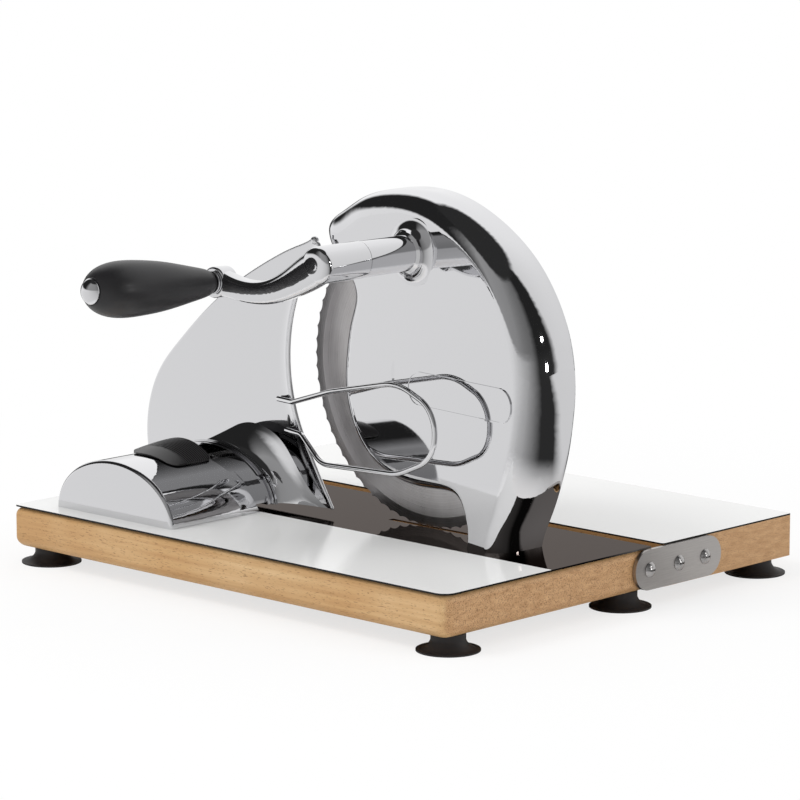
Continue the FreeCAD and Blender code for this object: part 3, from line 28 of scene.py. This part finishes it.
# Places that the finishes below share, read from the solids
blade_low, blade_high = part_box("blade")
blade_centre = (blade_low + blade_high) / 2
lever_low, lever_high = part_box("release_lever")


def linear(hex_colour):
    """sRGB hex to the linear RGBA that the shaders take."""
    channels = [int(hex_colour[i:i + 2], 16) / 255 for i in (1, 3, 5)]
    return [c / 12.92 if c <= 0.04045 else ((c + 0.055) / 1.055) ** 2.4 for c in channels] + [1.0]


def shade(colour, factor):
    """A linear colour made lighter or darker."""
    return [min(1.0, c * factor) for c in colour[:3]] + [1.0]


def grey(level):
    """A linear grey; levels over 1 are brighter than white paper."""
    return [level, level, level, 1.0]


def add(tree, kind, inputs=None, stops=None, **settings):
    """Adds one node: settings by name, inputs as plain values or incoming sockets, and a ramp's stops."""
    made = tree.nodes.new(kind)
    for name, value in settings.items():
        setattr(made, name, value)
    for name, value in (inputs or {}).items():
        if isinstance(value, bpy.types.NodeSocket):
            tree.links.new(value, made.inputs[name])
        else:
            made.inputs[name].default_value = value
    if stops:
        band = made.color_ramp
        while len(band.elements) < len(stops):
            band.elements.new(1.0)
        for element, (position, colour) in zip(band.elements, stops):
            element.position = position
            element.color = colour
    return made


def new_finish(name):
    """An empty material, with the sockets of a spot's place on the piece, in metres, and of its normal."""
    material = bpy.data.materials.new(name)
    material.use_nodes = True
    tree = material.node_tree
    tree.nodes.clear()
    sockets = add(tree, "ShaderNodeTexCoord").outputs
    return material, tree, sockets["Object"], sockets["Normal"]


def finish(tree, **inputs):
    """Ends a material with its Principled shader; a key's underscores stand for spaces."""
    shader = add(tree, "ShaderNodeBsdfPrincipled",
                 {key.replace("_", " "): value for key, value in inputs.items()})
    add(tree, "ShaderNodeOutputMaterial", {"Surface": shader.outputs["BSDF"]})


def by_ray(tree, others, mirrored, eye):
    """Joins the shader that the camera sees, the one that mirrors show and the one for all other light."""
    paths = add(tree, "ShaderNodeLightPath").outputs
    unseen = add(tree, "ShaderNodeMixShader", {0: paths["Is Glossy Ray"], 1: others, 2: mirrored})
    return add(tree, "ShaderNodeMixShader",
               {0: paths["Is Camera Ray"], 1: unseen.outputs["Shader"], 2: eye}).outputs["Shader"]


# ---------------------------------------------------------------- finishes
def oiled_beech():
    """Oiled beech, planed: warm straw with long faint streaks, short dark rays and dots on the sawn ends."""
    material, tree, spot, normal = new_finish("oiled_beech")
    # all per metre
    growth = (6.5, 190.0, 230.0)  # rings cut lengthwise, 150 mm long and 4 to 5 mm apart
    fleck = (330.0, 2400.0, 2400.0)  # rays 3 mm long and 0.4 mm thick, twice the real size so that they show
    end_rings = (1.0, 120.0, 420.0)  # growth rings on a sawn end, 2 to 8 mm apart
    vessels = 1700.0  # pores on a sawn end, 0.6 mm across, drawn coarse so that they show
    patches = 17.0  # warmer and paler areas, 60 mm across

    along = add(tree, "ShaderNodeMapping", {"Vector": spot, "Scale": growth})
    streak = add(tree, "ShaderNodeTexNoise", {"Vector": along.outputs["Vector"], "Scale": 1.0, "Detail": 5.0,
                                              "Roughness": 0.62}).outputs["Fac"]
    body = add(tree, "ShaderNodeValToRGB", {"Fac": streak},
               [(0.28, linear("#BC9463")), (0.50, linear("#CDA777")), (0.74, linear("#DBBB8C"))])
    cloud = add(tree, "ShaderNodeTexNoise", {"Vector": spot, "Scale": patches, "Detail": 2.0})
    tint = add(tree, "ShaderNodeValToRGB", {"Fac": cloud.outputs["Fac"]},
               [(0.35, linear("#EBDCC4")), (0.65, grey(1.0))])
    toned = add(tree, "ShaderNodeMix",
                {"Factor": 0.7, "A": body.outputs["Color"], "B": tint.outputs["Color"]},
                data_type="RGBA", blend_type="MULTIPLY")
    rays = add(tree, "ShaderNodeMapping", {"Vector": spot, "Scale": fleck})
    ray = add(tree, "ShaderNodeTexNoise", {"Vector": rays.outputs["Vector"], "Scale": 1.0, "Detail": 1.0})
    flecks = add(tree, "ShaderNodeValToRGB", {"Fac": ray.outputs["Fac"]},
                 [(0.30, grey(0.75)), (0.37, grey(0.0))])
    side = add(tree, "ShaderNodeMix", {"Factor": flecks.outputs["Color"], "A": toned.outputs["Result"],
                                       "B": linear("#8B6538")}, data_type="RGBA")

    rings = add(tree, "ShaderNodeMapping", {"Vector": spot, "Scale": end_rings})
    ring = add(tree, "ShaderNodeTexNoise", {"Vector": rings.outputs["Vector"], "Scale": 1.0, "Detail": 3.0})
    sawn = add(tree, "ShaderNodeValToRGB", {"Fac": ring.outputs["Fac"]},
               [(0.3, linear("#B58A5C")), (0.7, linear("#CBA173"))])
    pores = add(tree, "ShaderNodeTexNoise", {"Vector": spot, "Scale": vessels, "Detail": 1.0})
    dots = add(tree, "ShaderNodeValToRGB", {"Fac": pores.outputs["Fac"]},
               [(0.36, grey(0.8)), (0.46, grey(0.0))])
    end = add(tree, "ShaderNodeMix", {"Factor": dots.outputs["Color"], "A": sawn.outputs["Color"],
                                      "B": linear("#7E5A35")}, data_type="RGBA")

    facing = add(tree, "ShaderNodeSeparateXYZ", {"Vector": normal}).outputs["X"]
    across = add(tree, "ShaderNodeMath", {0: facing}, operation="ABSOLUTE")
    is_end = add(tree, "ShaderNodeValToRGB", {"Fac": across.outputs["Value"]},
                 [(0.6, grey(0.0)), (0.8, grey(1.0))])
    colour = add(tree, "ShaderNodeMix", {"Factor": is_end.outputs["Color"], "A": side.outputs["Result"],
                                         "B": end.outputs["Result"]}, data_type="RGBA")
    relief = add(tree, "ShaderNodeBump", {"Height": streak, "Distance": 0.1 * MM, "Strength": 0.3})
    finish(tree, Base_Color=colour.outputs["Result"], Roughness=0.5, IOR=1.5,
           Normal=relief.outputs["Normal"])
    return material


def white_laminate():
    """High-pressure laminate: hard white that faintly mirrors what stands on it, with a black sawn edge."""
    material, tree, _, normal = new_finish("white_laminate")
    upward = add(tree, "ShaderNodeSeparateXYZ", {"Vector": normal}).outputs["Z"]
    colour = add(tree, "ShaderNodeValToRGB", {"Fac": upward},
                 [(0.5, linear("#1B1918")), (0.8, linear("#F7F7F6"))])
    finish(tree, Base_Color=colour.outputs["Color"], Roughness=0.14, IOR=1.25)
    return material


def chrome(name, colour="#DEDEE0", roughness=0.03, ripple=0.02, rolled=0.0, grazing="#FFFFFF"):
    """Chrome over polished metal: a clean mirror whose reflections swim a little.

    ripple is the strength of that swimming, rolled the radius in millimetres that softens sharp edges, and
    grazing the tint of what it mirrors at a glancing angle.
    """
    material, tree, spot, _ = new_finish(name)
    swells = 28.0  # per metre: polishing leaves waves about 36 mm long
    swell = add(tree, "ShaderNodeTexNoise", {"Vector": spot, "Scale": swells, "Detail": 1.0})
    surface = {"Height": swell.outputs["Fac"], "Distance": 0.4 * MM, "Strength": ripple}
    if rolled:
        edge = add(tree, "ShaderNodeBevel", {"Radius": rolled * MM}, samples=6)
        surface["Normal"] = edge.outputs["Normal"]
    relief = add(tree, "ShaderNodeBump", surface)
    finish(tree, Base_Color=linear(colour), Specular_Tint=linear(grazing), Metallic=1.0, Roughness=roughness,
           Normal=relief.outputs["Normal"])
    return material


def brushed(name, colour, grain, roughness=0.32, contrast=0.10):
    """Satin steel: fine lines along one way; grain gives how many lines a metre holds on each axis."""
    material, tree, spot, _ = new_finish(name)
    way = add(tree, "ShaderNodeMapping", {"Vector": spot, "Scale": grain})
    lines = add(tree, "ShaderNodeTexNoise", {"Vector": way.outputs["Vector"], "Scale": 1.0, "Detail": 3.0,
                                             "Roughness": 0.6}).outputs["Fac"]
    base = linear(colour)
    tone = add(tree, "ShaderNodeValToRGB", {"Fac": lines},
               [(0.3, shade(base, 1 - contrast)), (0.7, shade(base, 1 + contrast))])
    rough = add(tree, "ShaderNodeMapRange", {"Value": lines, "To Min": roughness - 0.06,
                                             "To Max": roughness + 0.08})
    relief = add(tree, "ShaderNodeBump", {"Height": lines, "Distance": 0.05 * MM, "Strength": 0.25})
    finish(tree, Base_Color=tone.outputs["Color"], Roughness=rough.outputs["Result"], Metallic=1.0,
           Normal=relief.outputs["Normal"])
    return material


def ground_blade():
    """Hardened stainless, ground while it spins: fine rings round the hub and a few bright sweeps."""
    material, tree, spot, _ = new_finish("ground_blade_steel")
    marks = 2500.0  # per metre: grinding rings 0.4 mm apart
    sweeps = (30.0, 1.0, 12.0)  # per metre: bright areas 30 to 80 mm across
    hub = add(tree, "ShaderNodeVectorMath", {0: spot, 1: [-c for c in blade_centre]}, operation="ADD")
    flat = add(tree, "ShaderNodeVectorMath", {0: hub.outputs["Vector"], 1: (1.0, 0.0, 1.0)},
               operation="MULTIPLY")
    radius = add(tree, "ShaderNodeVectorMath", {0: flat.outputs["Vector"]}, operation="LENGTH")
    rings = add(tree, "ShaderNodeTexNoise", {"W": radius.outputs["Value"], "Scale": marks, "Detail": 3.0,
                                             "Roughness": 0.7}, noise_dimensions="1D").outputs["Fac"]
    wide = add(tree, "ShaderNodeMapping", {"Vector": spot, "Scale": sweeps})
    sweep = add(tree, "ShaderNodeTexNoise", {"Vector": wide.outputs["Vector"], "Scale": 1.0, "Detail": 4.0,
                                             "Roughness": 0.65}).outputs["Fac"]
    both = add(tree, "ShaderNodeMath", {0: rings, 1: sweep}, operation="ADD").outputs["Value"]
    half = add(tree, "ShaderNodeMath", {0: both, 1: 0.5}, operation="MULTIPLY").outputs["Value"]
    tone = add(tree, "ShaderNodeValToRGB", {"Fac": half},
               [(0.35, linear("#A5A1A1")), (0.65, linear("#CFCDCD"))])
    rough = add(tree, "ShaderNodeMapRange", {"Value": half, "From Min": 0.3, "From Max": 0.7, "To Min": 0.22,
                                             "To Max": 0.40})
    relief = add(tree, "ShaderNodeBump", {"Height": rings, "Distance": 0.02 * MM, "Strength": 0.3})
    finish(tree, Base_Color=tone.outputs["Color"], Roughness=rough.outputs["Result"], Metallic=1.0,
           Normal=relief.outputs["Normal"])
    return material


def moulded(name, colour, roughness, grit, depth, coat=0.0, ribs=False):
    """Moulded plastic or rubber: even colour with a fine pebbled skin, its grit and depth in millimetres."""
    material, tree, spot, _ = new_finish(name)
    clouds = 45.0  # per metre: handled and dusty areas 22 mm across
    skin = add(tree, "ShaderNodeTexNoise", {"Vector": spot, "Scale": 1000.0 / grit, "Detail": 2.0})
    cloud = add(tree, "ShaderNodeTexNoise", {"Vector": spot, "Scale": clouds, "Detail": 3.0}).outputs["Fac"]
    base = linear(colour)
    tone = add(tree, "ShaderNodeValToRGB", {"Fac": cloud},
               [(0.3, shade(base, 0.85)), (0.7, shade(base, 1.2))])
    rough = add(tree, "ShaderNodeMapRange", {"Value": cloud, "To Min": roughness - 0.05,
                                             "To Max": roughness + 0.07})
    relief = add(tree, "ShaderNodeBump", {"Height": skin.outputs["Fac"], "Distance": depth * MM,
                                          "Strength": 0.4})
    if ribs:
        relief = thumb_ribs(tree, spot, relief)
    finish(tree, Base_Color=tone.outputs["Color"], Roughness=rough.outputs["Result"], IOR=1.46,
           Coat_Weight=coat, Coat_Roughness=0.25, Normal=relief.outputs["Normal"])
    return material


def thumb_ribs(tree, spot, under):
    """Moulded ribs over the lever's rear and right flank, which the thumb pushes against."""
    spacing, depth = 1.6 * MM, 0.25 * MM
    rear_start, rear_full = lever_high.y - 21 * MM, lever_high.y - 19 * MM
    flank_start, flank_full = lever_low.x + 9 * MM, lever_low.x + 12 * MM
    place = add(tree, "ShaderNodeSeparateXYZ", {"Vector": spot}).outputs
    turns = add(tree, "ShaderNodeMath", {0: place["Y"], 1: 2 * math.pi / spacing}, operation="MULTIPLY")
    wave = add(tree, "ShaderNodeMath", {0: turns.outputs["Value"]}, operation="SINE")
    rear = add(tree, "ShaderNodeMapRange", {"Value": place["Y"], "From Min": rear_start,
                                            "From Max": rear_full})
    flank = add(tree, "ShaderNodeMapRange", {"Value": place["X"], "From Min": flank_start,
                                             "From Max": flank_full})
    area = add(tree, "ShaderNodeMath", {0: rear.outputs["Result"], 1: flank.outputs["Result"]},
               operation="MULTIPLY")
    height = add(tree, "ShaderNodeMath", {0: wave.outputs["Value"], 1: area.outputs["Value"]},
                 operation="MULTIPLY")
    return add(tree, "ShaderNodeBump", {"Height": height.outputs["Value"], "Distance": depth,
                                        "Normal": under.outputs["Normal"]})


def sintered_bronze():
    """Sintered bronze: porous brown gold, only seen in the bearings."""
    material, tree, spot, _ = new_finish("sintered_bronze")
    grains = 2500.0  # per metre: pores 0.4 mm across, drawn coarse so that they show
    pores = add(tree, "ShaderNodeTexNoise", {"Vector": spot, "Scale": grains, "Detail": 2.0}).outputs["Fac"]
    tone = add(tree, "ShaderNodeValToRGB", {"Fac": pores},
               [(0.35, linear("#6E5330")), (0.55, linear("#A98350"))])
    relief = add(tree, "ShaderNodeBump", {"Height": pores, "Distance": 0.05 * MM, "Strength": 0.4})
    finish(tree, Base_Color=tone.outputs["Color"], Metallic=1.0, Roughness=0.42,
           Normal=relief.outputs["Normal"])
    return material


def dress(material, *names):
    """Gives each named piece this one finish."""
    for name in names:
        slots = nodes[name].data.materials
        slots.clear()
        slots.append(material)


lengthwise = (60.0, 60.0, 2500.0)  # lines 17 mm long and 0.4 mm apart
turned = (900.0, 900.0, 900.0)  # small pieces, with marks 1.1 mm apart every way
cut = (700.0, 700.0, 700.0)  # machined steel, with marks 1.4 mm apart every way
feet = [name for name in nodes if name.startswith("foot_")]

dress(oiled_beech(), "front_board", "rear_board")
dress(white_laminate(), "front_laminate", "rear_laminate")
dress(chrome("dark_polished_strip", "#6A6664", roughness=0.04, ripple=0.004, grazing="#A8A4A2"),
      "slide_plate")
dress(chrome("bright_chrome_casting"), "housing_shell", "badge_plate", "crank_arm")
dress(chrome("chromed_pressing", rolled=2.0), "fence_plate")
dress(chrome("chromed_turning", ripple=0.0), "handle_ferrule", "handle_nut", "handle_spindle", "wire_guard",
      "fence_bracket", "fence_ring", "adjuster_housing")
dress(brushed("satin_stainless_strap", "#B3AFAC", lengthwise), "hinge_strap_left", "hinge_strap_right")
dress(brushed("nickelled_screw", "#B5B3B2", turned, roughness=0.25), "strap_screws", "pivot_screws",
      "fence_rivets", "adjuster_screws", "gear_cover_screws", "housing_bolts", "housing_washers",
      "blade_screws", "axle_clip", "crank_set_screw", "pinion_pin", "lever_pin", "lever_spring", "lock_rack",
      "guide_rods", "front_foot_screws", "rear_foot_screws")
dress(ground_blade(), "blade", "blade_clamp")
dress(brushed("machined_gear_steel", "#6F6D6C", cut, roughness=0.38), "blade_gear", "crank_pinion",
      "crank_shaft", "blade_axle", "gear_cover", "adjuster_base")
dress(sintered_bronze(), "blade_bush", "shaft_bush_outer", "shaft_bush_inner", "rod_bushes")
dress(moulded("lacquered_black_grip", "#1E1D1F", roughness=0.42, grit=0.8, depth=0.03, coat=0.15),
      "handle_grip")
dress(moulded("moulded_black_abs", "#1B1A1B", roughness=0.33, grit=0.6, depth=0.02, ribs=True),
      "release_lever")
dress(moulded("black_suction_rubber", "#221E1E", roughness=0.58, grit=0.9, depth=0.05), *feet)


# ---------------------------------------------------------------- floor, light and camera
# What polished metal sees round it: (azimuth in degrees, grey level) on the floor's far part, on the room's
# walls low down and on the walls higher up
floor_levels = [(-90, 0.95), (-50, 0.86), (-10, 0.80), (40, 0.62), (70, 0.44), (88, 0.22), (101, 0.03),
                (117, 0.03), (123, 0.78), (228, 0.92), (236, 0.06), (262, 0.06), (266, 0.95), (270, 0.95)]
low_levels = [(-90, 1.0), (-60, 0.92), (-10, 0.80), (40, 0.60), (70, 0.42), (88, 0.22), (101, 0.03),
              (125, 0.03), (131, 0.80), (228, 0.98), (236, 0.06), (262, 0.06), (266, 1.0), (270, 1.0)]
high_levels = [(-90, 0.02), (-40, 0.02), (-15, 0.34), (40, 0.30), (88, 0.16), (101, 0.02), (125, 0.02),
               (131, 0.80), (185, 1.0), (252, 1.1), (262, 0.02), (270, 0.02)]


def round_about(tree, way, levels):
    """The grey that the levels give a direction; azimuth runs from the crank's side (-Y) towards +X."""
    turn = add(tree, "ShaderNodeTexGradient", {"Vector": way}, gradient_type="RADIAL").outputs["Fac"]
    stops = [(azimuth / 360.0 + 0.25, grey(level)) for azimuth, level in levels]
    return add(tree, "ShaderNodeValToRGB", {"Fac": turn}, stops).outputs["Color"]


def rise(tree, value, start, end, lowest=0.0):
    """A smooth rise to 1 between two values."""
    return add(tree, "ShaderNodeMapRange",
               {"Value": value, "From Min": start, "From Max": end, "To Min": lowest},
               interpolation_type="SMOOTHSTEP").outputs["Result"]


def put(name, data):
    """Adds an object to the scene."""
    made = bpy.data.objects.new(name, data)
    bpy.context.scene.collection.objects.link(made)
    return made


def look(holder, way):
    """Turns a lamp or camera so that it looks that way, upright."""
    holder.rotation_mode = "QUATERNION"
    holder.rotation_quaternion = way.to_track_quat("-Z", "Y")


def make_floor():
    """Wide pale floor with a faint shadow under the feet; polished metal sees the room's tones in it."""
    half = 6.0
    mesh = bpy.data.meshes.new("floor")
    mesh.from_pydata([(-half, -half, 0), (half, -half, 0), (half, half, 0), (-half, half, 0)], [],
                     [(0, 1, 2, 3)])
    floor = put("floor", mesh)
    material, tree, spot, _ = new_finish("pale_floor")
    mesh.materials.append(material)
    distance = add(tree, "ShaderNodeVectorMath", {0: spot}, operation="LENGTH").outputs["Value"]
    near = add(tree, "ShaderNodeBsdfDiffuse", {"Color": linear("#FCFCFC")}).outputs["BSDF"]
    white = add(tree, "ShaderNodeEmission", {"Color": grey(1.0)}).outputs["Emission"]
    faint = rise(tree, distance, 0.25, 0.6, lowest=0.72)
    eye = add(tree, "ShaderNodeMixShader", {0: faint, 1: near, 2: white})
    tone = round_about(tree, spot, floor_levels)
    table = add(tree, "ShaderNodeEmission", {"Color": tone}).outputs["Emission"]
    mirrored = add(tree, "ShaderNodeMixShader", {0: rise(tree, distance, 0.21, 0.30), 1: near, 2: table})
    surface = by_ray(tree, near, mirrored.outputs["Shader"], eye.outputs["Shader"])
    add(tree, "ShaderNodeOutputMaterial", {"Surface": surface})


def make_world():
    """White room for the eye and for plain light; polished metal sees pale walls with dark gaps between."""
    world = bpy.data.worlds.new("studio")
    bpy.context.scene.world = world
    world.use_nodes = True
    tree = world.node_tree
    tree.nodes.clear()
    way = add(tree, "ShaderNodeTexCoord").outputs["Generated"]
    height = add(tree, "ShaderNodeSeparateXYZ", {"Vector": way}).outputs["Z"]
    walls = add(tree, "ShaderNodeMix",
                {"Factor": rise(tree, height, 0.12, 0.26), "A": round_about(tree, way, low_levels),
                 "B": round_about(tree, way, high_levels)}, data_type="RGBA").outputs["Result"]
    room = add(tree, "ShaderNodeMix",
               {"Factor": rise(tree, height, 0.84, 0.90), "A": walls, "B": grey(0.03)},
               data_type="RGBA").outputs["Result"]
    plain = add(tree, "ShaderNodeBackground", {"Color": grey(1.0), "Strength": 0.80}).outputs["Background"]
    eye = add(tree, "ShaderNodeBackground", {"Color": grey(1.0), "Strength": 1.0}).outputs["Background"]
    mirrored = add(tree, "ShaderNodeBackground", {"Color": room}).outputs["Background"]
    add(tree, "ShaderNodeOutputWorld", {"Surface": by_ray(tree, plain, mirrored, eye)})


def add_lamp(name, place, aim, size, power, mirrored):
    """A square lamp; mirrored says whether polished metal shows it."""
    lamp = bpy.data.lights.new(name, "AREA")
    lamp.size = size
    lamp.energy = power
    holder = put(name, lamp)
    holder.location = place
    holder.visible_glossy = mirrored
    look(holder, Vector(aim) - Vector(place))


def make_camera():
    """Long lens from the front right, a little above the boards."""
    azimuth, elevation = math.radians(43.56), math.radians(10.09)
    ahead = Vector((-math.sin(azimuth) * math.cos(elevation), math.cos(azimuth) * math.cos(elevation),
                    -math.sin(elevation)))
    camera = bpy.data.cameras.new("camera")
    camera.lens = 176.9
    camera.sensor_width = 36.0
    camera.clip_end = 50.0
    holder = put("camera", camera)
    holder.location = (1.6131, -1.6572, 0.5199)
    look(holder, ahead)
    bpy.context.scene.camera = holder


make_floor()
make_world()
add_lamp("key", (-0.9, -1.6, 2.4), (0.0, 0.0, 0.1), size=1.1, power=26.0, mirrored=False)
add_lamp("spark", (2.15, 0.9, 0.28), (0.0, 0.0, 0.15), size=0.16, power=2.5, mirrored=True)
add_lamp("edge_spark", (2.15, 0.9, 0.95), (0.05, 0.0, 0.15), size=0.16, power=2.5, mirrored=True)
make_camera()
bpy.context.scene.view_settings.view_transform = "Standard"
